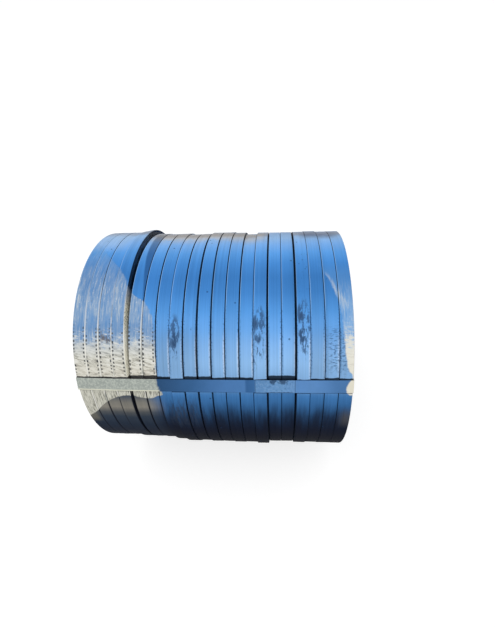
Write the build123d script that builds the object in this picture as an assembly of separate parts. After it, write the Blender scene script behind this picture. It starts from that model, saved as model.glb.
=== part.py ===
from build123d import *
import math
import os

# A pack of narrow coils of galvanized steel strip. The coils lie on their side, edge to edge on
# one axis, and three flat tie straps run along the outside, over both ends and back through the
# bore. The pack rests on the lowest strap.
# Millimetres. X is the coils' axis, Z is up, and the front strap is on the -Y side. The origin is
# on the bore axis, half way between the ends at the front strap.
# Angles round the axis start at -Y and grow towards +Z.

# Strip and winding
STRIP_WIDTH = 40.0
STRIP_THICKNESS = 4.0
BORE_DIAMETER = 610.0
COIL_GAP = 0.4

# Turns in each coil, from the -X end to the +X end
TURNS = (20, 20, 20, 21, 20, 20, 21, 21, 21, 22, 22, 22, 21, 22, 21, 21, 21, 21, 21, 21)

# Slack turns carry the outside of a coil off centre: coil number, then how far and at what angle
SLACK = {
    1: (16.0, 105.0), 2: (16.0, 105.0), 3: (16.0, 105.0), 4: (16.0, 105.0), 5: (9.0, 105.0),
    6: (7.0, 105.0), 7: (3.0, 105.0), 8: (5.0, 30.0), 9: (3.0, 50.0), 10: (1.5, 210.0),
    11: (2.0, 210.0), 12: (3.4, 250.0), 13: (4.0, 300.0), 14: (3.0, 300.0), 15: (3.0, 215.0),
    16: (4.0, 215.0), 17: (3.0, 50.0), 18: (2.0, 100.0),
}

# The first coils have tipped away from the rest, about the line of the front strap
LEANING_COILS = 4
LEAN_ANGLE = 0.7

# Outer turns that stand back from the outer face of each end coil
TURNS_BACK = 6
BACK_DEPTH = 1.5

# Tie straps. Each strip's outer end is tucked under the back strap
FRONT_STRAP_ANGLE = 30.0
BACK_STRAP_ANGLE = 150.0
BOTTOM_STRAP_ANGLE = 270.0
STRAP_WIDTH = 40.0
STRAP_THICKNESS = 0.7
STRAP_SEAT = 0.1
LAP_LENGTH = 115.0
LAP_FROM_MIDDLE = 185.0

bore_radius = BORE_DIAMETER / 2
full_radius = bore_radius + max(TURNS) * STRIP_THICKNESS
coil_pitch = STRIP_WIDTH + COIL_GAP
lean_reach = full_radius * math.sin(math.radians(LEAN_ANGLE))
tied_length = len(TURNS) * coil_pitch - COIL_GAP + lean_reach


def around(radius, angle):
    """Point in the YZ plane at an angle round the axis."""
    turned = math.radians(angle)
    return Vector(0, -radius * math.cos(turned), radius * math.sin(turned))


def slack(number):
    """How far the outside of a coil stands off centre, as a vector."""
    return around(*SLACK.get(number, (0.0, 0.0)))


def coil_middle(number):
    """Place of a coil's middle along the axis."""
    from_end = (number - 0.5) * coil_pitch - COIL_GAP / 2
    past_lean = lean_reach if number > LEANING_COILS else 0
    return from_end + past_lean - tied_length / 2


def wound_outline(turns):
    """Outside of so many turns: two half rounds that gain one thickness, and the step at its end.

    The step points along the sketch's own X axis, and half a turn away the radius is the mean one.
    """
    radius = bore_radius + turns * STRIP_THICKNESS
    shift = STRIP_THICKNESS / 4
    low_half = CenterArc((-shift, 0), radius - shift, 0, 180)
    high_half = CenterArc((shift, 0), radius + shift, 180, 180)
    step = Line((radius + 2 * shift, 0), (radius - 2 * shift, 0))
    return make_face(low_half + high_half + step)


def wound_plate(turns, thickness, centre=Vector(0, 0, 0)):
    """Plate across the axis with a wound outline, half its thickness to each side of its centre."""
    across = Plane(origin=centre, x_dir=around(1, BACK_STRAP_ANGLE), z_dir=(-1, 0, 0))
    return extrude(across * wound_outline(turns), thickness / 2, both=True)


def turns_back(turns, side):
    """Space in front of the outer turns that stand back from an end face."""
    face = Vector(side * STRIP_WIDTH / 2, 0, 0)
    past_outside = wound_plate(2 * turns, 2 * BACK_DEPTH, face)
    return past_outside - wound_plate(turns - TURNS_BACK, STRIP_WIDTH, face)


def coil(number):
    """One coil in its place: a wound ring, tipped if it leans, with its bore in line with the rest."""
    turns = TURNS[number - 1]
    body = wound_plate(turns, STRIP_WIDTH, slack(number))
    if number == 1:
        body -= turns_back(turns, -1)
    if number == len(TURNS):
        body -= turns_back(turns, 1)
    if number <= LEANING_COILS:
        tip_axis = Axis((0, 0, 0), tuple(around(1, FRONT_STRAP_ANGLE)))
        body = body.rotate(tip_axis, LEAN_ANGLE)
    body -= Rot(0, 90, 0) * Cylinder(bore_radius, 2 * STRIP_WIDTH)
    return Pos(coil_middle(number), 0, 0) * body


def reach(number, angle):
    """How far a coil's outside stands from the axis, in a direction round it."""
    radius = bore_radius + TURNS[number - 1] * STRIP_THICKNESS
    past_step = (angle - BACK_STRAP_ANGLE) % 360 or 360
    gain = STRIP_THICKNESS / 4 * (1 + math.cos(math.radians(past_step)))
    return radius + slack(number).dot(around(1, angle)) + (gain if past_step > 180 else -gain)


def bearing_corners(angle):
    """Corners of every coil's section under a strap, as places along the axis and radii."""
    bore_edge = math.sqrt(bore_radius**2 - (STRAP_WIDTH / 2) ** 2)
    from_tip_axis = math.radians(angle - FRONT_STRAP_ANGLE)
    corners = []
    for number in range(1, len(TURNS) + 1):
        lean = math.radians(LEAN_ANGLE) if number <= LEANING_COILS else 0
        tip = lean * math.sin(from_tip_axis)
        skew = lean * abs(math.cos(from_tip_axis)) * STRAP_WIDTH / 2
        outside = reach(number, angle)
        for side in (-1, 1):
            edge = side * (STRIP_WIDTH / 2 + skew)
            middle = coil_middle(number) + edge
            corners.append((middle - bore_edge * tip, bore_edge))
            corners.append((middle - outside * tip, outside + edge * tip))
    return corners


def taut_loop(points):
    """The corners that a taut strap bends over: the convex loop round the points, in order."""

    def half(ordered):
        chain = []
        for x, r in ordered:
            while len(chain) > 1:
                (x0, r0), (x1, r1) = chain[-2:]
                if (x1 - x0) * (r - r0) > (r1 - r0) * (x - x0):
                    break
                chain.pop()
            chain.append((x, r))
        return chain[:-1]

    return half(sorted(points)) + half(sorted(points, reverse=True))


def layer(loop, number):
    """Section of a strap's layer round the loop, the first layer being number 0."""
    inside = STRAP_SEAT + number * STRAP_THICKNESS
    return offset(loop, inside + STRAP_THICKNESS) - offset(loop, inside)


def strap(angle):
    """Taut flat strap round the pack's wall, with its two ends lapped on the outside."""
    loop = make_face(Polyline(*taut_loop(bearing_corners(angle)), close=True))
    lap = Pos(LAP_FROM_MIDDLE, full_radius) * Rectangle(LAP_LENGTH, full_radius - bore_radius)
    section = layer(loop, 0) + (layer(loop, 1) & lap)
    return extrude(Plane.XZ * section, STRAP_WIDTH / 2, both=True).rotate(Axis.X, 90 - angle)


os.makedirs("parts", exist_ok=True)
for number in range(1, len(TURNS) + 1):
    export_step(coil(number), f"parts/strip_coil_{number:02d}.step")
export_step(strap(FRONT_STRAP_ANGLE), "parts/tie_strap_front.step")
export_step(strap(BACK_STRAP_ANGLE), "parts/tie_strap_back.step")
export_step(strap(BOTTOM_STRAP_ANGLE), "parts/tie_strap_bottom.step")
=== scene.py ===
import math

import bmesh
import bpy
from mathutils import Matrix, Vector, noise


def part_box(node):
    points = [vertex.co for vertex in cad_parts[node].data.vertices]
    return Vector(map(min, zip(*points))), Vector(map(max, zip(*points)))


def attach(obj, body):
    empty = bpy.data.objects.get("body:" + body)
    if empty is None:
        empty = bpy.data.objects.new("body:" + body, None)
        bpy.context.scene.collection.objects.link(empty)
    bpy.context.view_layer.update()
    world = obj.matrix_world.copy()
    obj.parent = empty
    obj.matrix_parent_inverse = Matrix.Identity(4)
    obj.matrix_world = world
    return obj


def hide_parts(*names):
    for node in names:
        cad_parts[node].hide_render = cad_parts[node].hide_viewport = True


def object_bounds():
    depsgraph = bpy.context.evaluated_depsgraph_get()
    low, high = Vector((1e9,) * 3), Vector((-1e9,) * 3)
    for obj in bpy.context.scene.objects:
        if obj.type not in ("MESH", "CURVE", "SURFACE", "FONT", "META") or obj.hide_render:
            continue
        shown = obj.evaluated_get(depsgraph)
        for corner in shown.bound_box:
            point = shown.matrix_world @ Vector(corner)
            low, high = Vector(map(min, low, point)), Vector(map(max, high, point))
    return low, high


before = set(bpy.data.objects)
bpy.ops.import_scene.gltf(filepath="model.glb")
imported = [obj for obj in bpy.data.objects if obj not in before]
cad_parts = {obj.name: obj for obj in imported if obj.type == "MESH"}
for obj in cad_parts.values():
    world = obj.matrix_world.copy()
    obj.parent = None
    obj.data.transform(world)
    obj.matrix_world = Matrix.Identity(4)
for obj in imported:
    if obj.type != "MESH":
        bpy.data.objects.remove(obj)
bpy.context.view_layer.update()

# The coils. Each is one long strip of galvanized steel, wound tight in a spiral round a mandrel
# and slid against the next, edge to edge. The slit edges are slightly rounded, and the outer end
# of every strip is tucked under the back strap.
COILS = 20
BORE_RADIUS = 0.305
STRIP_PITCH = 0.004
STRIP_THICKNESS = 0.0037
STRIP_WIDTH = 0.040
EDGE_ROUND = 0.0009
STEPS_A_TURN = 96
END_ANGLE = 150
WELD = 0.00002
SHARP = 0.5
MM = 0.001

# The first coils lean, tipped about the line of the front strap
LEANING_COILS = 4
LEAN = math.radians(0.7)
LEAN_AXIS_ANGLE = 30

# How far apart the strip edges stand at each seam, from the left end to the right, in mm. Only the
# outer turns keep that gap. The turns further in close it, and each side reaches a little past it.
SEAM_GAPS = (0, 0.4, 0.4, 0.5, 1.2, 1.6, 1.5, 0.3, 1.7, 3.4, 2.6,
             1.2, 1.3, 0.8, 2.8, 0.7, 3.2, 0.4, 0.7, 1.1, 0)
INNER_REACH = 0.15

# How much the outside slopes across each strip, in mm from edge to edge
SLOPES = (0.3, -0.4, 0.2, 0.3, -0.8, -0.5, 0.3, -0.3, 0.4, -0.6,
          0.2, -0.2, 0.3, -0.3, -0.4, -0.6, 0.3, 0.2, -0.3, 0.2)

# How far the outer turns stray, in mm: in and out, over their face, and sideways. The outer turns
# of the two end coils stand back from the end face.
WAVE = 0.25
CROWN = 0.22
WANDER = 0.25
END_STRAY = 0.6
END_BACK = 0.9
END_SEAT = 0.3

# The sunk right edge of one coil and the loose outer turn of the one before it: how far in mm, and
# the middle and reach of it in degrees round the coil
SUNK_COIL, SUNK_DEPTH, SUNK_ANGLE, SUNK_REACH = 5, 3.5, 88, 42
LOOSE_COIL, LOOSE_LIFT, LOOSE_ANGLE, LOOSE_REACH = 4, 3.8, 124, 21


def around(radius, angle):
    """A point in the plane of a coil. The angle starts at -Y and grows towards +Z."""
    turned = math.radians(angle)
    return Vector((0, -radius * math.cos(turned), radius * math.sin(turned)))


def rise(value, low, high):
    """0 below low and 1 above high, with a smooth step between them."""
    share = min(1, max(0, (value - low) / (high - low)))
    return share * share * (3 - 2 * share)


def hump(angle, middle, reach):
    """1 at an angle round the coil, falling smoothly to 0 at its reach to each side."""
    away = abs((angle - middle + 180) % 360 - 180)
    return 1 - rise(away, 0, reach)


def noise_at(x, y, z):
    """Smooth noise from about -1 to 1."""
    return noise.noise(Vector((x, y, z)))


def one_turn(width, crowned):
    """A single turn of the strip, open at its two ends, with a share of the turn on each vertex.

    A crowned one has more edges over its face, so that the face can be uneven.
    """
    bm = bmesh.new()
    bmesh.ops.create_grid(bm, x_segments=1, y_segments=1, size=1)
    bmesh.ops.scale(bm, vec=(width / 2, STRIP_THICKNESS / 2, 1), verts=bm.verts)
    bmesh.ops.bevel(bm, geom=bm.verts[:], offset=EDGE_ROUND, offset_type="OFFSET", segments=1,
                    profile=0.5, affect="VERTICES", material=-1)
    bmesh.ops.delete(bm, geom=bm.faces[:], context="FACES_ONLY")
    if crowned:
        top = [e for e in bm.edges if all(v.co.y > 0 for v in e.verts) and e.calc_length() > width / 2]
        bmesh.ops.subdivide_edges(bm, edges=top, cuts=7)
    standing = Matrix.Rotation(math.radians(180 - END_ANGLE), 3, "X")
    bmesh.ops.rotate(bm, cent=(0, 0, 0), matrix=standing, verts=bm.verts)
    bmesh.ops.translate(bm, vec=around(BORE_RADIUS + STRIP_THICKNESS / 2, END_ANGLE), verts=bm.verts)
    corners = len(bm.verts)
    bmesh.ops.spin(bm, geom=bm.verts[:] + bm.edges[:], cent=(0, 0, 0), axis=(-1, 0, 0),
                   angle=math.tau, steps=STEPS_A_TURN, use_merge=False)
    bm.verts.index_update()
    wound = bm.verts.layers.float.new("wound")
    for v in bm.verts:
        v[wound] = (v.index // corners) / STEPS_A_TURN
    mesh = bpy.data.meshes.new("turn")
    bm.to_mesh(mesh)
    bm.free()
    return mesh


def unwound_turns(turns, width):
    """All the turns of a coil, still of one size, with the turns wound so far on each vertex."""
    plain, crowned = one_turn(width, False), one_turn(width, True)
    bm = bmesh.new()
    for turn in range(turns):
        bm.from_mesh(plain if turn < turns - 1 else crowned)
    bm.verts.index_update()
    wound = bm.verts.layers.float["wound"]
    for v in bm.verts:
        v[wound] += min(v.index // len(plain.vertices), turns - 1)
    bpy.data.meshes.remove(plain)
    bpy.data.meshes.remove(crowned)
    return bm


def sprung(number, turns, wound, across, width, on_face):
    """How far a point of the strip stands outside a true spiral."""
    angle = END_ANGLE + 360 * wound
    off = WAVE * noise_at(wound * 5, number * 7.3, 0) + SLOPES[number - 1] * across / width
    if on_face and wound > turns - 1:
        off += CROWN * noise_at(across * 160, number * 3.7, wound * 1.5)
    off *= rise(wound, turns - 4, turns - 1)
    if number == LOOSE_COIL:
        off += (LOOSE_LIFT * hump(angle, LOOSE_ANGLE, LOOSE_REACH) * rise(across, -0.020, 0.012)
                * rise(wound, turns - 1.1, turns - 0.9))
    if number == SUNK_COIL:
        off -= (SUNK_DEPTH * hump(angle, SUNK_ANGLE, SUNK_REACH) * rise(across, -0.004, 0.019)
                * rise(wound, turns - 5, turns - 1))
    return off * MM


def strayed(number, turns, wound, inner):
    """How far a turn has strayed along the pack. Inner turns of all coils stray alike, and stay apart."""
    if number in (1, COILS):
        inwards = 1 if number == 1 else -1
        back = rise(wound, turns - 6.2, turns - 5.8)
        off = inwards * (END_BACK * back + END_SEAT) + END_STRAY * noise_at(wound * 2.9, number, 9)
    else:
        off = WANDER * noise_at(wound * 1.3, number * 5.1 * (1 - inner), 4)
    return off * MM


def wound_coil(number, low, high):
    """One coil as its strip, wound from the bore outwards to fill the box of its node."""
    radius = (high.y - low.y + high.z - low.z) / 4
    turns = round((radius - BORE_RADIUS) / STRIP_PITCH)
    # A spiral's box isn't centred on it, because of the step at its outer end
    off_centre = STRIP_PITCH / 4
    slack = Vector((0, (low.y + high.y) / 2 + off_centre, (low.z + high.z) / 2 - off_centre))
    # The outer end stands half a pitch outside the mean radius
    pitch = ((turns + 0.5) * STRIP_PITCH - STRIP_THICKNESS) / turns
    left_gap, right_gap = SEAM_GAPS[number - 1] * MM / 2, SEAM_GAPS[number] * MM / 2
    left_fill = left_gap + (0 if number in (1, LEANING_COILS + 1) else INNER_REACH * MM)
    right_fill = right_gap + (0 if number in (LEANING_COILS, COILS) else INNER_REACH * MM)
    width = STRIP_WIDTH - left_gap - right_gap

    bm = unwound_turns(turns, width)
    wound = bm.verts.layers.float["wound"]
    place = bm.verts.layers.float_vector.new("strip")
    seam = bm.verts.layers.float.new("seam")
    for v in bm.verts:
        so_far, across = v[wound], v.co.x
        out = around(1, END_ANGLE + 360 * so_far)
        depth = v.co.dot(out) - BORE_RADIUS
        inner = 1 - rise(so_far, turns - 2.6, turns - 1.4)
        off = sprung(number, turns, so_far, across, width, depth > STRIP_THICKNESS * 0.7)
        v.co = out * (BORE_RADIUS + pitch * so_far + depth + off) + slack * min(1, so_far / (turns - 1))
        v.co.x = across + (left_gap - right_gap) / 2 + strayed(number, turns, so_far, inner)
        v.co.x += inner * (-left_fill if across < 0 else right_fill)
        v[place] = (so_far * math.tau * radius, across, number)
        v[seam] = left_gap if across < 0 else right_gap
    bmesh.ops.remove_doubles(bm, verts=bm.verts, dist=WELD)
    bmesh.ops.holes_fill(bm, edges=[e for e in bm.edges if e.is_boundary], sides=0)
    if number <= LEANING_COILS:
        lean = Matrix.Rotation(LEAN, 3, around(1, LEAN_AXIS_ANGLE))
        bmesh.ops.rotate(bm, cent=(0, 0, 0), matrix=lean, verts=bm.verts)
    bmesh.ops.translate(bm, vec=((low.x + high.x) / 2, 0, 0), verts=bm.verts)
    bmesh.ops.recalc_face_normals(bm, faces=bm.faces)
    for face in bm.faces:
        face.smooth = True
    for e in bm.edges:
        if e.calc_face_angle(0) > SHARP:
            e.smooth = False
    mesh = bpy.data.meshes.new(f"wound_strip_{number:02d}")
    bm.to_mesh(mesh)
    bm.free()
    return mesh


def paint(*red_green_blue):
    """A colour as it looks on screen, each part from 0 to 255."""
    shares = [part / 255 for part in red_green_blue]
    return [((share + 0.055) / 1.055) ** 2.4 if share > 0.04 else share / 12.92 for share in shares] + [1]


class Finish:
    """The nodes of a material or of the sky while they are put together."""

    def __init__(self, owner):
        owner.use_nodes = True
        self.tree = owner.node_tree

    def feed(self, value, socket):
        """Link a node's output to a socket, or set the socket to a plain value."""
        if isinstance(value, bpy.types.NodeSocket):
            self.tree.links.new(value, socket)
        else:
            socket.default_value = value

    def add(self, kind, inputs=(), **settings):
        """A new node with its inputs fed and its settings made."""
        node = self.tree.nodes.new("ShaderNode" + kind)
        for key, value in settings.items():
            setattr(node, key, value)
        for key, value in dict(inputs).items():
            self.feed(value, node.inputs[key])
        return node

    def maths(self, operation, a, b=0.0):
        return self.add("Math", {0: a, 1: b}, operation=operation).outputs[0]

    def plus(self, a, b):
        return self.maths("ADD", a, b)

    def minus(self, a, b):
        return self.maths("SUBTRACT", a, b)

    def times(self, *values):
        """The product of all the values."""
        product = values[0]
        for value in values[1:]:
            product = self.maths("MULTIPLY", product, value)
        return product

    def either(self, a, b):
        """The larger of two shares."""
        return self.maths("MAXIMUM", a, b)

    def rest_of(self, share):
        """What a share leaves of 1."""
        return self.minus(1.0, share)

    def step(self, value, low, high):
        """0 at low and 1 at high, with a smooth step between them, which may fall instead."""
        node = self.add("MapRange", {"Value": value}, interpolation_type="SMOOTHSTEP")
        if low > high:
            low, high = high, low
            node.inputs["To Min"].default_value, node.inputs["To Max"].default_value = 1.0, 0.0
        node.inputs["From Min"].default_value, node.inputs["From Max"].default_value = low, high
        return node.outputs[0]

    def band(self, value, low, high, soft):
        """1 between low and high, with soft ends."""
        starts, ends = self.step(value, low - soft, low + soft), self.step(value, high + soft, high - soft)
        return self.times(starts, ends)

    def curve(self, value, points):
        """A smooth curve through the points, each a value and what it gives."""
        (x0, x1), (y0, y1) = [(min(side), max(side)) for side in zip(*points)]
        share = self.add("MapRange", {"Value": value, "From Min": x0, "From Max": x1}).outputs[0]
        node = self.add("FloatCurve", {"Value": share})
        line = node.mapping.curves[0]
        places = [((x - x0) / (x1 - x0), (y - y0) / (y1 - y0)) for x, y in sorted(points)]
        line.points[0].location, line.points[1].location = places[0], places[-1]
        for place in places[1:-1]:
            line.points.new(*place)
        node.mapping.update()
        return self.add("MapRange", {"Value": node.outputs[0], "To Min": y0, "To Max": y1}).outputs[0]

    def ramp(self, value, stops):
        """Colours along a value, each stop a place and its colour."""
        low, high = stops[0][0], stops[-1][0]
        share = self.add("MapRange", {"Value": value, "From Min": low, "From Max": high}).outputs[0]
        node = self.add("ValToRGB", {0: share})
        points = node.color_ramp.elements
        while len(points) < len(stops):
            points.new(0.5)
        for point, (place, colour) in zip(points, stops):
            point.position = (place - low) / (high - low)
            point.color = paint(*colour)
        return node.outputs[0]

    def blend(self, share, a, b, kind="MIX"):
        """From one colour to another, by a share from 0 to 1."""
        node = self.add("Mix", {0: share}, data_type="RGBA", blend_type=kind)
        colour_a, colour_b = node.inputs[6], node.inputs[7]
        self.feed(a, colour_a)
        self.feed(b, colour_b)
        return node.outputs[2]

    def coat(self, colour, red_green_blue, *shares):
        """A colour with another laid over it, as thick as the shares together."""
        return self.blend(self.times(*shares), colour, paint(*red_green_blue))

    def shaded(self, colour, share):
        """A colour made brighter or darker, 1 leaving it as it is."""
        grey = self.add("CombineColor", {0: share, 1: share, 2: share}).outputs[0]
        return self.blend(1.0, colour, grey, "MULTIPLY")

    def vector(self, *parts):
        return self.add("CombineXYZ", dict(enumerate(parts))).outputs[0]

    def grain(self, place, scale, detail=3.0, roughness=0.6):
        """Noise from 0 to 1 at a place."""
        inputs = {"Vector": place, "Scale": scale, "Detail": detail, "Roughness": roughness}
        return self.add("TexNoise", inputs).outputs["Fac"]

    def from_oval(self, values, middle, reach):
        """How far two values are from the middle of an oval, 1 being its rim."""
        parts = [self.times(self.minus(v, m), 1 / r) for v, m, r in zip(values, middle, reach)]
        return self.add("VectorMath", {0: self.vector(*parts)}, operation="LENGTH").outputs["Value"]


class PackFinish(Finish):
    """A material that knows each point's place on the pack: along the axis, up, round and out."""

    def __init__(self, name):
        self.material = bpy.data.materials.new(name)
        super().__init__(self.material)
        self.shader = self.tree.nodes["Principled BSDF"]
        self.spot = self.add("TexCoord").outputs["Object"]
        self.x, y, self.z = self.add("SeparateXYZ", {0: self.spot}).outputs[:3]
        self.angle = self.maths("DEGREES", self.maths("ARCTAN2", self.z, self.times(y, -1.0)))
        flat = self.add("VectorMath", {0: self.spot, 1: (0, 1, 1)}, operation="MULTIPLY").outputs[0]
        self.radius = self.add("VectorMath", {0: flat}, operation="LENGTH").outputs["Value"]

    def sun_patches(self, outside):
        """Where sunlight is painted on the zinc, which is also duller there: wide at the left end of the
        front, narrow at the right.
        """
        ragged = self.times(self.minus(self.grain(self.spot, 60.0), 0.5), 0.016)
        inner = self.curve(self.angle, (
            (22, -0.148), (25, -0.148), (27, -0.152), (34, -0.159), (50, -0.163), (57, -0.168), (61, -0.175),
            (66, -0.196), (71, -0.242), (77, -0.262), (90, -0.336), (104, -0.415)))
        left = self.step(self.minus(self.plus(inner, ragged), self.x), -0.003, 0.005)
        foot = self.curve(self.x, (
            (-0.412, 9.6), (-0.392, 11.3), (-0.37, 14.0), (-0.345, 17.9), (-0.304, 22.1), (-0.252, 24.4),
            (-0.223, 22.9), (-0.187, 22.4), (-0.168, 23.6), (-0.148, 24.7)))
        left = self.times(left, self.step(self.minus(self.angle, foot), -0.25, 0.35))
        outer = self.curve(self.angle, (
            (26, 0.394), (29, 0.386), (32, 0.392), (34.5, 0.402), (37, 0.391), (40, 0.385), (43, 0.382),
            (50, 0.378), (58.5, 0.374), (68, 0.361), (83, 0.317), (88, 0.284), (96, 0.25)))
        right = self.step(self.minus(self.x, self.plus(outer, self.times(ragged, 0.5))), -0.002, 0.004)
        right = self.times(right, self.step(self.angle, 25.3, 26.3), self.step(self.angle, 87.0, 79.0))
        return self.times(left, outside), self.times(right, outside)


class StripFinish(PackFinish):
    """The same with the place on the strip, the zones of painted sunlight, and the patterns that marks share.
    """

    def __init__(self, name):
        super().__init__(name)
        strip = self.add("Attribute", attribute_name="strip").outputs["Vector"]
        self.along, self.across, self.number = self.add("SeparateXYZ", {0: strip}).outputs[:3]
        self.from_edge = self.minus(STRIP_WIDTH / 2, self.maths("ABSOLUTE", self.across))
        self.left, self.right = self.sun_patches(self.step(self.radius, 0.345, 0.373))
        self.in_sun = self.either(self.left, self.right)
        self.streaks = self.strip_grain(1.2, 260.0, 3.7)
        self.scratches = self.strip_grain(24.0, 260.0, 4.4, 4.0, 0.72)
        self.hatch = self.strip_grain(165.0, 40.0, 9.1, 4.0, 0.7, slant=0.25)
        ragged = self.times(self.minus(self.grain(self.spot, 42.0, 4.0, 0.7), 0.5), 13.0)
        self.ragged_angle = self.plus(self.angle, ragged)

    def strip_grain(self, fine_along, fine_across, draw, detail=3.0, roughness=0.6, slant=0.0):
        """Noise that follows the strip, as fine as said along and across it, and new for each strip."""
        along = self.plus(self.along, self.times(self.across, slant)) if slant else self.along
        place = self.vector(self.times(along, fine_along), self.times(self.across, fine_across),
                            self.times(self.number, draw))
        return self.grain(place, 1.0, detail, roughness)


def zinc_with_painted_sky(f):
    """Bright blue zinc round the pack as a painted reflection of sky and ground, from painted shade low in
    front over the top and down the back.
    """
    uneven = f.grain(f.vector(f.x, f.times(f.angle, 0.0008), 0.0), 42.0, 4.0, 0.62)
    uneven = f.times(f.minus(uneven, 0.5), f.band(f.angle, 3.0, 19.0, 6.0), 21.0)
    colour = f.ramp(f.plus(f.angle, uneven), (
        (-180, (70, 108, 154)), (-155, (40, 64, 98)), (-130, (20, 30, 48)), (-90, (12, 18, 28)),
        (-16, (8, 12, 22)), (-4, (9, 14, 29)), (3, (15, 23, 43)), (8, (21, 36, 60)), (12, (29, 52, 83)),
        (15, (38, 72, 111)), (18, (48, 93, 142)), (21, (58, 111, 167)), (25, (66, 124, 184)),
        (33, (134, 178, 224)), (40, (142, 187, 233)), (47, (128, 177, 230)), (54, (102, 160, 222)),
        (62, (80, 143, 208)), (70, (63, 125, 191)), (78, (60, 123, 191)), (86, (72, 140, 212)),
        (93, (92, 161, 231)), (100, (122, 178, 240)), (108, (148, 189, 233)), (120, (136, 170, 210)),
        (140, (104, 146, 194)), (180, (70, 108, 154))))

    # Painted reflection in chalky, brown and slate grey along the crest, and a painted lighter blue sheen at
    # the left
    broken = f.step(f.grain(f.spot, 16.0, 4.0), 0.28, 0.5)
    pale_crest_reflection = f.times(f.step(f.angle, 100.0, 113.0), f.step(f.angle, 132.0, 114.0), broken)
    colour = f.coat(colour, (190, 188, 186), pale_crest_reflection, f.band(f.x, -0.235, 0.15, 0.02), 0.92)
    brown_crest_reflection = f.times(f.step(f.angle, 108.5, 114.0), f.step(f.angle, 128.0, 116.0))
    colour = f.coat(colour, (136, 131, 128), brown_crest_reflection, f.rest_of(f.band(f.x, 0.166, 0.242, 0.003)), 0.6)
    slate_crest_reflection = f.times(f.step(f.angle, 104.0, 111.0), f.step(f.angle, 124.0, 112.0), broken)
    colour = f.coat(colour, (92, 104, 132), slate_crest_reflection, f.band(f.x, 0.27, 0.385, 0.025), 0.8)
    lighter_left_sheen = f.times(f.step(f.x, -0.27, -0.34), f.band(f.angle, 97.0, 116.0, 5.0))
    return f.coat(colour, (176, 208, 244), lighter_left_sheen, 0.5)


def low_reflection_and_mottle(f, colour):
    """Painted shade and brown-grey painted reflection of the ground low down at the ends, and dark mottling
    between.
    """
    # Painted shade and brown-grey painted reflection of the ground low down at the left
    ground_reflection = f.ramp(f.angle, (
        (-20, (20, 26, 36)), (-4, (30, 38, 54)), (3, (38, 50, 68)), (10, (54, 66, 82)), (13.5, (88, 92, 96)),
        (17, (146, 142, 133)), (20, (134, 132, 125)), (24, (80, 88, 100))))
    reflecting_ground = f.times(f.step(f.x, -0.135, -0.215), f.step(f.angle, 32.0, 28.0), f.step(f.angle, -60.0, -20.0))
    colour = f.blend(reflecting_ground, colour, ground_reflection)
    # Brown-grey painted reflection of the ground at the foot of each end
    left_foot_reflection = f.times(f.step(f.x, -0.362, -0.388), f.band(f.angle, 6.5, 13.0, 2.5))
    colour = f.coat(colour, (134, 131, 120), left_foot_reflection, 0.75)
    right_foot_reflection = f.times(f.step(f.x, 0.362, 0.395), f.band(f.angle, 8.0, 17.0, 4.0))
    colour = f.coat(colour, (92, 88, 84), right_foot_reflection, 0.6)
    mottled = f.times(f.band(f.x, -0.14, -0.045, 0.03), f.band(f.angle, 6.0, 22.0, 5.0))
    mottle = f.step(f.strip_grain(30.0, 190.0, 6.1, 4.0, 0.7), 0.42, 0.56)
    return f.coat(colour, (52, 62, 80), mottled, mottle, 0.6)


def strip_shades(f, colour):
    """A shade of its own for each strip, streaks along it, slow changes over it, darker near the front strap
    towards the ends, painted shade on the sunk edge, and painted highlights on the strip edges.
    """
    whole_number = f.maths("ROUND", f.number)
    own = f.add("TexWhiteNoise", {"W": whole_number}, noise_dimensions="1D").outputs["Value"]
    shade = f.plus(f.times(f.minus(f.streaks, 0.5), 0.42), 0.76)
    shade = f.plus(shade, f.times(f.strip_grain(0.7, 75.0, 8.3, 1.0), 0.2))
    shade = f.plus(shade, f.plus(f.times(own, 0.08), f.times(f.grain(f.spot, 7.0, 2.0), 0.2)))
    near_front = f.band(f.angle, 35.0, 54.0, 4.0)
    darkened = f.curve(f.x, ((-0.41, 0.14), (-0.125, 0.14), (-0.045, 0.09), (0.02, 0.0), (0.21, 0.0),
                           (0.27, 0.05), (0.355, 0.15), (0.41, 0.1)))
    colour = f.shaded(colour, f.minus(shade, f.times(darkened, near_front)))

    # The sunk edge lies in shade
    sunk_from = f.curve(f.angle, ((60, 0.017), (72, 0.012), (84, 0.003), (96, -0.004), (125, -0.006)))
    sunk = f.times(f.maths("COMPARE", f.number, float(SUNK_COIL)),
                   f.step(f.minus(f.across, sunk_from), -0.0015, 0.0045), f.band(f.angle, 66.0, 118.0, 8.0))
    sunk_colour = f.ramp(f.angle, ((70, (44, 92, 148)), (94, (46, 96, 156)), (104, (76, 116, 164)),
                                   (113, (112, 118, 126))))
    colour = f.blend(f.times(sunk, 0.88), colour, sunk_colour)

    # Painted highlight along the left edge of each strip, high on the pack
    left_edge_highlight = f.times(f.step(f.across, -0.0158, -0.0178), f.step(f.across, -0.0196, -0.0188))
    colour = f.coat(colour, (160, 202, 246), f.band(f.angle, 62.0, 104.0, 6.0), left_edge_highlight, 0.5)
    # Painted highlight along the right edge of each strip near the front strap
    right_edge_highlight = f.times(f.step(f.across, 0.0125, 0.0165), f.step(f.streaks, 0.3, 0.6))
    colour = f.coat(colour, (198, 222, 248), f.band(f.angle, 35.0, 50.0, 5.0), right_edge_highlight, 0.7)
    return f.coat(colour, (78, 122, 172), near_front, f.step(f.across, -0.0125, -0.0175), 0.45)


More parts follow.
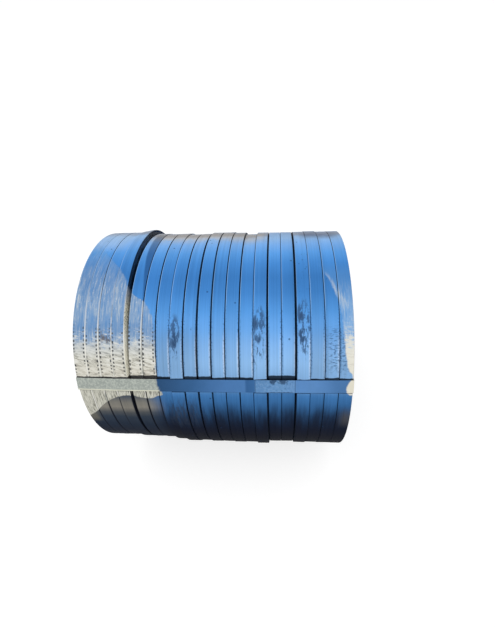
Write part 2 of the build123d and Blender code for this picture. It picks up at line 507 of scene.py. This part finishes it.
# The dark smears: their middle along the pack and round it, their reach both ways, and how much of
# the blotchy pattern is left out of them
SMEARS = (
    (-0.103, 51, 0.021, 11, 0.485), (0.143, 53, 0.021, 13, 0.475), (0.268, 55, 0.020, 15, 0.47),
    (0.257, 61, 0.010, 5, 0.36), (0.262, 52, 0.013, 4, 0.41), (0.131, 57, 0.010, 4, 0.37),
    (0.139, 51, 0.011, 3, 0.37), (-0.100, 50, 0.012, 4, 0.40), (0.128, 40, 0.008, 4, 0.47),
    (0.140, 66, 0.017, 5, 0.60), (-0.062, 55, 0.018, 7, 0.60), (0.357, 45, 0.016, 6, 0.56))


def handling_marks(f, colour):
    """Dark smears, spots and specks, fine dirt beside the edges, and nicks near the right end."""
    blots = f.strip_grain(34.0, 95.0, 2.3, 4.0, 0.72)
    for x, angle, wide, tall, left_out in SMEARS:
        away = f.from_oval((f.x, f.angle), (x, angle), (wide, tall))
        smear = f.times(f.step(away, 1.0, 0.6), f.step(blots, left_out, left_out + 0.09))
        colour = f.coat(colour, (50, 76, 112), smear, 0.8)
    spotted = f.times(f.band(f.x, 0.245, 0.290, 0.01), f.band(f.angle, 70.0, 93.0, 5.0))
    spots = f.step(f.strip_grain(120.0, 150.0, 7.9, 1.0), 0.68, 0.74)
    colour = f.coat(colour, (24, 44, 82), spotted, spots, 0.7)
    specks = f.add("TexVoronoi", {"Vector": f.spot, "Scale": 21.0}).outputs["Distance"]
    colour = f.coat(colour, (34, 58, 92), f.step(specks, 0.075, 0.045), 0.65)
    beside_edges = f.times(f.step(f.from_edge, 0.0062, 0.0034), f.band(f.angle, 34.0, 62.0, 8.0))
    flecks = f.step(f.strip_grain(190.0, 300.0, 1.0, 2.0), 0.53, 0.62)
    colour = f.coat(colour, (48, 78, 116), beside_edges, flecks, 0.72)
    chafed = f.times(f.band(f.x, 0.335, 0.41, 0.012), f.band(f.angle, 37.0, 54.0, 4.0))
    nicks = f.step(f.strip_grain(330.0, 75.0, 3.1, 2.0), 0.52, 0.6)
    return f.coat(colour, (48, 78, 120), chafed, nicks, 0.75)


def sunlit_zinc(f):
    """Zinc in painted sunlight, cream and dull, hatched above the front strap and in rows below it."""
    sunlit_cream = f.ramp(f.hatch, ((0.30, (130, 126, 116)), (0.41, (194, 191, 178)), (0.49, (230, 228, 215)),
                             (0.58, (243, 242, 231)), (0.70, (252, 251, 244))))
    sunlit_cream = f.coat(sunlit_cream, (196, 208, 220), f.step(f.angle, 41.0, 48.0), 0.5)
    sunlit_cream = f.coat(sunlit_cream, (250, 242, 222), f.step(f.angle, 41.0, 36.0), 0.3)
    rows = f.ramp(f.strip_grain(40.0, 330.0, 5.3, 3.0, 0.65), (
        (0.30, (108, 106, 96)), (0.43, (200, 199, 185)), (0.54, (230, 229, 215)), (0.7, (246, 244, 230))))
    return f.blend(f.step(f.angle, 30.0, 26.0), sunlit_cream, rows)


def sunlit_left(f, colour, sunlit_cream):
    """Painted sunlight over the wide left end: cream low down, hazy blue with white streaks and painted
    glints higher up.
    """
    sun_haze = f.ramp(f.scratches, ((0.32, (104, 150, 202)), (0.46, (142, 174, 212)), (0.56, (166, 190, 216)),
                                (0.64, (204, 214, 220)), (0.75, (234, 236, 232))))
    sun_glints = f.times(f.step(f.grain(f.spot, 140.0, 3.0, 0.75), 0.56, 0.64), f.step(f.scratches, 0.45, 0.6))
    sun_haze = f.coat(sun_haze, (244, 246, 240), sun_glints, f.band(f.angle, 63.0, 77.0, 5.0), 0.8)
    sunlit = f.blend(f.step(f.ragged_angle, 51.0, 46.0), sun_haze, sunlit_cream)
    sunlit = f.coat(sunlit, (100, 146, 200), f.band(f.ragged_angle, 52.0, 58.0, 2.5), 0.5)
    white_hatch = f.times(f.band(f.angle, 43.0, 54.0, 2.0), f.step(f.hatch, 0.54, 0.62))
    sunlit = f.coat(sunlit, (238, 238, 232), white_hatch, 0.7)
    strength = f.curve(f.angle, ((10, 0.97), (50, 0.97), (64, 0.9), (74, 0.72), (84, 0.4), (95, 0.15)))
    patchy = f.plus(f.times(f.step(f.strip_grain(9.0, 60.0, 3.9), 0.38, 0.6), 0.35), 0.65)
    patchy = f.blend(f.step(f.angle, 60.0, 50.0), patchy, (1, 1, 1, 1))
    return f.blend(f.times(f.left, strength, patchy), colour, sunlit)


def sunlit_right(f, colour, sunlit_cream):
    """Painted sunlight over the narrow right end: cream low down, fading higher up, with a slanting painted
    highlight.
    """
    faded_sun = f.ramp(f.scratches, ((0.36, (118, 172, 232)), (0.5, (150, 194, 240)), (0.62, (206, 226, 242)),
                                 (0.75, (240, 244, 244))))
    faded_sun = f.coat(faded_sun, (104, 164, 230), f.step(f.angle, 62.0, 80.0))
    slanting = f.band(f.plus(f.x, f.times(f.angle, 0.0033)), 0.578, 0.602, 0.006)
    sun_gleam = f.times(slanting, f.band(f.angle, 66.0, 79.0, 3.0))
    faded_sun = f.coat(faded_sun, (222, 234, 240), sun_gleam, f.step(f.scratches, 0.36, 0.56))
    streaky = f.plus(f.ragged_angle, f.times(f.minus(f.hatch, 0.5), 34.0))
    sunlit = f.blend(f.step(streaky, 56.0, 47.0), faded_sun, f.coat(sunlit_cream, (255, 251, 236), 0.75))
    strength = f.curve(f.angle, ((26, 0.97), (47, 0.97), (53, 0.85), (60, 0.72), (68, 0.62), (76, 0.45),
                                 (87, 0.3)))
    return f.blend(f.times(f.right, strength), colour, sunlit)


def dashes(f, gaps):
    """Where the short dark dashes lie beside the edges of the pale strips."""
    along = f.maths("SINE", f.times(f.plus(f.along, f.times(gaps, 0.016)), 520.0))
    beside_right = f.times(f.band(f.from_edge, 0.0048, 0.0092, 0.0010), f.step(f.across, -0.001, 0.0))
    beside_left = f.times(f.band(f.from_edge, 0.0006, 0.0056, 0.0010), f.step(f.across, 0.0, -0.001))
    where = f.times(f.either(beside_right, beside_left), f.left, f.band(f.ragged_angle, 34.0, 55.0, 4.0))
    return f.times(where, f.step(along, -0.15, 0.3), f.step(gaps, 0.36, 0.46))


def sunlit_edges_and_mark(f, colour, gaps):
    """Painted sunlight on the right edges of the sunlit strips and on the slit edge of the loose turn, and a
    brown mark.
    """
    sunlit_right_edges = f.curve(f.angle, ((20, 1.0), (48, 1.0), (56, 0.72), (64, 0.4), (82, 0.0)))
    sunlit_right_edges = f.times(sunlit_right_edges, f.step(f.from_edge, 0.0045, 0.0033), f.step(f.across, -0.001, 0.001), f.left)
    edge_colour = f.blend(f.step(gaps, 0.56, 0.68), paint(252, 251, 243), paint(176, 180, 172))
    colour = f.blend(f.times(sunlit_right_edges, 0.92), colour, edge_colour)
    sunlit_slit_edge = f.times(f.maths("COMPARE", f.number, float(LOOSE_COIL)), f.step(f.across, 0.0172, 0.0182),
                        f.left, f.step(f.angle, 76.0, 62.0))
    speckled = f.ramp(f.grain(f.spot, 170.0, 3.0, 0.7), (
        (0.36, (116, 112, 90)), (0.46, (208, 202, 176)), (0.6, (240, 236, 216))))
    speckled = f.coat(speckled, (250, 246, 228), f.step(f.angle, 58.0, 50.0))
    colour = f.blend(f.times(sunlit_slit_edge, 0.95), colour, speckled)
    mark = f.times(f.band(f.x, -0.322, -0.288, 0.004), f.band(f.ragged_angle, 49.0, 52.5, 1.0))
    return f.coat(colour, (88, 76, 76), mark, f.step(f.scratches, 0.36, 0.56), 0.8)


def painted_gap_shade(f, colour):
    """Painted shade in the seams and painted shadow under the straps, more of it where a strip lies well
    below a strap, and less in the seams under the painted sunlight.
    """
    # Painted shade in the seams, left out where the painted sunlight falls
    sunlit_seam = f.times(f.left, f.step(f.angle, 80.0, 60.0), f.step(f.angle, 26.0, 30.0))
    gap = f.add("Attribute", attribute_name="seam").outputs["Fac"]
    seam = f.times(f.step(f.minus(f.from_edge, gap), 0.0012, 0.0003), f.rest_of(sunlit_seam))
    wide = f.plus(f.times(f.step(gap, 0.00018, 0.0005), 0.35), 0.6)
    colour = f.coat(colour, (11, 20, 37), seam, wide)
    # Wider painted shade in the seams low down
    low_seam = f.times(f.step(f.from_edge, 0.0040, 0.0012), f.step(f.x, -0.10, -0.18), f.rest_of(f.left))
    low_down = f.times(f.step(f.angle, 26.0, 21.0), f.step(f.angle, -30.0, -10.0))
    colour = f.coat(colour, (14, 21, 35), low_seam, low_down, 0.85)

    # Painted shadow just above the front strap, up to an angle that goes with how low each coil lies under it
    ragged = f.times(f.minus(f.grain(f.spot, 38.0), 0.5), 1.2)
    up_to = f.curve(f.number, (
        (1, 33.5), (3, 33.5), (4, 33.7), (5, 34.1), (7, 33.9), (8, 33.2), (9, 34.1), (10, 34.2), (11, 33.7),
        (13, 33.8), (14, 33.2), (15, 34.5), (16, 34.5), (17, 33.2), (18, 33.4), (19, 34.0), (20, 33.7)))
    under = f.times(f.step(f.angle, 26.5, 26.8), f.step(f.minus(f.plus(f.angle, ragged), up_to), 0.15, -0.15))
    for strap_angle in (150.0, -90.0):  # the back strap and the bottom strap
        under = f.either(under, f.band(f.angle, strap_angle - 3.0, strap_angle + 3.0, 0.15))
    return f.coat(colour, (12, 18, 30), under, 0.93)


def bare_steel(f, colour):
    """The bare slit edges of the strip on the two end faces, with painted shade darker low down and the
    painted sunlight kept at the left, and painted shade on the wall of the bore.
    """
    left_end, right_end = -0.3985, 0.4035
    on_end = f.plus(f.maths("LESS_THAN", f.x, left_end), f.maths("GREATER_THAN", f.x, right_end))
    bare = f.times(f.step(f.from_edge, 0.0012, 0.0004), on_end)
    # The bare edges lighter on top and darker low down: painted shade
    edges = f.ramp(f.angle, ((-180, (104, 116, 130)), (-90, (52, 58, 66)), (0, (88, 98, 110)),
                             (60, (142, 152, 162)), (120, (142, 152, 162)), (180, (104, 116, 130))))
    uneven = f.grain(f.vector(f.times(f.along, 7.0), f.times(f.radius, 900.0), f.number), 1.0)
    edges = f.shaded(edges, f.plus(f.times(uneven, 0.9), 0.55))
    # Where the painted sunlight stays over the bare edges
    sunlit = f.times(f.left, f.step(f.radius, 0.372, 0.388), 0.8)
    colour = f.blend(f.times(bare, f.rest_of(sunlit)), colour, edges)
    # Painted shade on the wall of the bore
    return f.coat(colour, (58, 70, 88), f.step(f.radius, 0.3092, 0.3084), 0.8)


def zinc_strip():
    """Hot-dip zinc: bright and blue as a painted sky reflection, near black with painted shade low down,
    streaked, smudged, with painted sunlight at the ends.
    """
    f = StripFinish("zinc_strip")
    gaps = f.strip_grain(28.0, 40.0, 6.7, 1.0)
    dashed = dashes(f, gaps)
    sunlit_cream = sunlit_zinc(f)
    colour = zinc_with_painted_sky(f)
    colour = low_reflection_and_mottle(f, colour)
    colour = strip_shades(f, colour)
    colour = handling_marks(f, colour)
    colour = sunlit_left(f, colour, sunlit_cream)
    colour = sunlit_right(f, colour, sunlit_cream)
    colour = f.coat(colour, (56, 60, 66), dashed, 0.9)
    colour = sunlit_edges_and_mark(f, colour, gaps)
    colour = painted_gap_shade(f, colour)
    colour = bare_steel(f, colour)

    f.feed(colour, f.shader.inputs["Base Color"])
    clean = f.times(f.step(f.z, 0.01, 0.19), f.rest_of(f.in_sun))
    f.feed(f.times(clean, 0.42), f.shader.inputs["Metallic"])
    rough = f.plus(f.times(f.streaks, 0.16), f.minus(0.66, f.times(clean, 0.26)))
    f.feed(rough, f.shader.inputs["Roughness"])
    f.shader.inputs["Specular IOR Level"].default_value = 0.05
    height = f.plus(f.times(f.streaks, 0.35), f.times(f.hatch, f.in_sun, 1.1))
    height = f.minus(height, f.times(dashed, 0.8))
    bump = f.add("Bump", {"Height": height, "Strength": 0.4, "Distance": 0.0012})
    f.feed(bump.outputs[0], f.shader.inputs["Normal"])
    return f.material


zinc = zinc_strip()
for number in range(1, COILS + 1):
    node = f"strip_coil_{number:02d}"
    strip = bpy.data.objects.new(f"wound_strip_{number:02d}", wound_coil(number, *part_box(node)))
    bpy.context.scene.collection.objects.link(strip)
    strip.data.materials.append(zinc)
    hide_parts(node)
    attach(strip, "root")

# The tie straps. Three flat bands of thin zinc-coated steel run along the outside of the pack, over
# both ends and back through the bore, pulled tight. Each is closed by a lap on the outside.
STRAPS = {"front": 30, "back": 150, "bottom": 270}
CUT_LENGTH = 0.012
CUTS_EACH_WAY = 33
STRAP_EDGE_ROUND = 0.00016
STRAP_WELD = 0.00001
SQUARE = 1.2

# The leg outside the pack lies a little unevenly, but for its ends, which are held: how far out it
# is, how far from the middle it is held and free, and by how much it strays out and sideways
OUTER_LEG = 0.34
HELD_FROM = 0.39
FREE_UP_TO = 0.36
STRAY_OUT = 0.0005
STRAY_SIDEWAYS = 0.0012
PACK_RADIUS = 0.393


def taut_band(node, angle):
    """A strap from its node, cut into short lengths that lie a little unevenly, with its edges eased."""
    bm = bmesh.new()
    bm.from_mesh(node.data)
    bmesh.ops.remove_doubles(bm, verts=bm.verts, dist=STRAP_WELD)
    upright = Matrix.Rotation(math.radians(angle - 90), 3, "X")
    bmesh.ops.rotate(bm, cent=(0, 0, 0), matrix=upright.inverted(), verts=bm.verts)
    for cut in range(-CUTS_EACH_WAY, CUTS_EACH_WAY + 1):
        bmesh.ops.bisect_plane(bm, geom=bm.verts[:] + bm.edges[:] + bm.faces[:], dist=STRAP_WELD,
                               plane_co=(cut * CUT_LENGTH, 0, 0), plane_no=(1, 0, 0))
    square = [e for e in bm.edges if e.calc_face_angle(0) > SQUARE]
    bmesh.ops.bevel(bm, geom=square, offset=STRAP_EDGE_ROUND, offset_type="OFFSET", segments=1, profile=0.5,
                    affect="EDGES", material=-1, clamp_overlap=True)
    for v in bm.verts:
        if v.co.z > OUTER_LEG and abs(v.co.x) < HELD_FROM:
            free = rise(abs(v.co.x), HELD_FROM, FREE_UP_TO)
            v.co.z += STRAY_OUT * free * (0.5 + noise_at(v.co.x * 15, v.co.y * 12, angle))
            v.co.y += STRAY_SIDEWAYS * free * noise_at(v.co.x * 4.5, 0, angle + 9)
    bmesh.ops.rotate(bm, cent=(0, 0, 0), matrix=upright, verts=bm.verts)
    bmesh.ops.recalc_face_normals(bm, faces=bm.faces)
    mesh = bpy.data.meshes.new(node.name)
    bm.to_mesh(mesh)
    bm.free()
    return mesh


def strap_lap(f, colour, outside, grit, up):
    """The rougher lap, with dark ends, dirt round its tack welds and along its lower edge."""
    lap = f.times(f.band(f.x, 0.129, 0.242, 0.0015), outside)
    colour = f.coat(colour, (156, 190, 222), lap, f.step(grit, 0.52, 0.68), 0.35)
    colour = f.coat(colour, (58, 90, 132), lap, f.step(grit, 0.43, 0.33), 0.4)
    ends = f.either(f.band(f.x, 0.1275, 0.1290, 0.0006), f.band(f.x, 0.2415, 0.2432, 0.0006))
    colour = f.coat(colour, (30, 52, 84), ends, outside, 0.6)
    low_edge = f.step(f.plus(up, f.times(grit, 0.004)), -0.0150, -0.0172)
    colour = f.coat(colour, (28, 50, 82), f.band(f.x, 0.160, 0.236, 0.006), low_edge, outside, 0.75)
    for weld, wide in ((0.180, 0.012), (0.207, 0.016)):
        away = f.from_oval((f.x, up), (weld, 0.017), (wide, 0.011))
        burnt = f.step(f.plus(away, f.times(grit, 1.6)), 1.9, 1.3)
        colour = f.coat(colour, (26, 42, 70), burnt, outside, 0.7)
    return colour, lap


def strap_finish():
    """Dull zinc on thin band: slate blue as a painted sky reflection, and painted sunlight in grey-green and
    cream where the strips beside it are in painted sunlight.
    """
    f = PackFinish("strap_zinc")
    cloud = f.grain(f.spot, 26.0, 5.0)
    grit = f.grain(f.spot, 150.0, 3.0, 0.7)
    outside = f.step(f.radius, 0.33, 0.35)
    outer_colour = f.ramp(f.x, (
        (-0.42, (62, 96, 140)), (-0.15, (50, 86, 128)), (-0.05, (62, 106, 156)), (0.03, (80, 127, 183)),
        (0.098, (82, 130, 186)), (0.103, (60, 104, 156)), (0.125, (64, 112, 166)), (0.130, (100, 146, 196)),
        (0.20, (110, 156, 204)), (0.242, (108, 153, 204)), (0.247, (98, 146, 203)), (0.30, (98, 146, 202)),
        (0.36, (82, 128, 181)), (0.42, (76, 120, 170))))
    colour = f.blend(outside, paint(66, 106, 152), outer_colour)
    colour = f.shaded(colour, f.plus(f.times(cloud, 0.3), 0.85))

    # How far up the front strap, from its middle line and measured on the pack's outside
    up = f.times(f.minus(f.angle, float(STRAPS["front"])), math.radians(PACK_RADIUS))
    colour, lap = strap_lap(f, colour, outside, grit, up)

    left, right = f.sun_patches(outside)
    # Painted sunlight on the strap: grey-green with a cream line at its lower edge at the left, and cream at
    # the right
    grey = f.blend(f.step(grit, 0.4, 0.62), paint(172, 180, 174), paint(200, 207, 198))
    grey = f.coat(grey, (238, 238, 218), f.step(up, -0.0150, -0.0172), 0.9)
    colour = f.blend(left, colour, grey)
    sunlit_cream = f.blend(f.step(cloud, 0.45, 0.6), paint(255, 252, 240), paint(248, 243, 225))
    colour = f.blend(right, colour, sunlit_cream)

    f.feed(colour, f.shader.inputs["Base Color"])
    f.feed(f.times(f.rest_of(f.either(left, right)), 0.4), f.shader.inputs["Metallic"])
    f.feed(f.plus(f.times(cloud, 0.25), 0.42), f.shader.inputs["Roughness"])
    f.shader.inputs["Specular IOR Level"].default_value = 0.05
    height = f.plus(cloud, f.times(grit, f.plus(lap, 0.25)))
    bump = f.add("Bump", {"Height": height, "Strength": 0.25, "Distance": 0.0008})
    f.feed(bump.outputs[0], f.shader.inputs["Normal"])
    return f.material


strap_zinc = strap_finish()
for place, angle in STRAPS.items():
    node = f"tie_strap_{place}"
    band = bpy.data.objects.new(f"taut_band_{place}", taut_band(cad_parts[node], angle))
    bpy.context.scene.collection.objects.link(band)
    band.data.materials.append(strap_zinc)
    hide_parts(node)
    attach(band, "root")

# The studio: a pale floor under the pack, soft light from above and the front, and a camera that
# looks down on the front strap.
FLOOR_REACH = 40
FLOOR_PAINT = 0.52
FLOOR_GLOW = 0.69
SKY_LIGHT = 0.62

low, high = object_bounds()
bm = bmesh.new()
bmesh.ops.create_grid(bm, x_segments=1, y_segments=1, size=FLOOR_REACH)
bmesh.ops.translate(bm, vec=(0, 0, low.z), verts=bm.verts)
floor_mesh = bpy.data.meshes.new("floor")
bm.to_mesh(floor_mesh)
bm.free()
floor = bpy.data.objects.new("floor", floor_mesh)
bpy.context.scene.collection.objects.link(floor)


def looked_at(f):
    """1 where the camera looks, directly, in a reflection or through glass, and 0 for light alone."""
    path = f.add("LightPath").outputs
    return f.either(f.either(path["Is Camera Ray"], path["Is Glossy Ray"]), path["Is Transmission Ray"])


def pale_floor():
    """A matt white floor that keeps the pack's shadow and otherwise shows as white."""
    material = bpy.data.materials.new("pale_floor")
    f = Finish(material)
    glow = f.add("Emission", {"Color": (1, 1, 1, 1), "Strength": f.times(looked_at(f), FLOOR_GLOW)})
    matt = f.add("BsdfDiffuse", {"Color": (FLOOR_PAINT, FLOOR_PAINT, FLOOR_PAINT, 1)})
    both = f.add("AddShader", {0: glow.outputs[0], 1: matt.outputs[0]})
    f.tree.nodes.remove(f.tree.nodes["Principled BSDF"])
    f.feed(both.outputs[0], f.tree.nodes["Material Output"].inputs["Surface"])
    return material


floor_mesh.materials.append(pale_floor())

studio = bpy.data.worlds.new("studio")
bpy.context.scene.world = studio
sky = Finish(studio)
background = sky.tree.nodes["Background"]
background.inputs["Color"].default_value = (1, 1, 1, 1)
level = sky.add("MapRange", {"Value": looked_at(sky), "To Min": SKY_LIGHT, "To Max": 1.0})
sky.feed(level.outputs[0], background.inputs["Strength"])

for name, place, size, power in (("overhead_light", (-0.4, -0.6, 3.0), 2.6, 21),
                                 ("front_light", (1.2, -2.6, 1.9), 1.8, 11)):
    lamp = bpy.data.lights.new(name, "AREA")
    lamp.size, lamp.energy = size, power
    light = bpy.data.objects.new(name, lamp)
    light.location = place
    light.rotation_euler = (-Vector(place)).to_track_quat("-Z", "Y").to_euler()
    bpy.context.scene.collection.objects.link(light)

camera_data = bpy.data.cameras.new("camera")
camera_data.sensor_width = 36
camera_data.lens = 20.48
camera = bpy.data.objects.new("camera", camera_data)
camera.location = (0.191, -0.865, 1.100)
camera.rotation_euler = [math.radians(a) for a in (41.67, 3.67, 2.91)]
bpy.context.scene.collection.objects.link(camera)
bpy.context.scene.camera = camera
bpy.context.scene.view_settings.view_transform = "Standard"
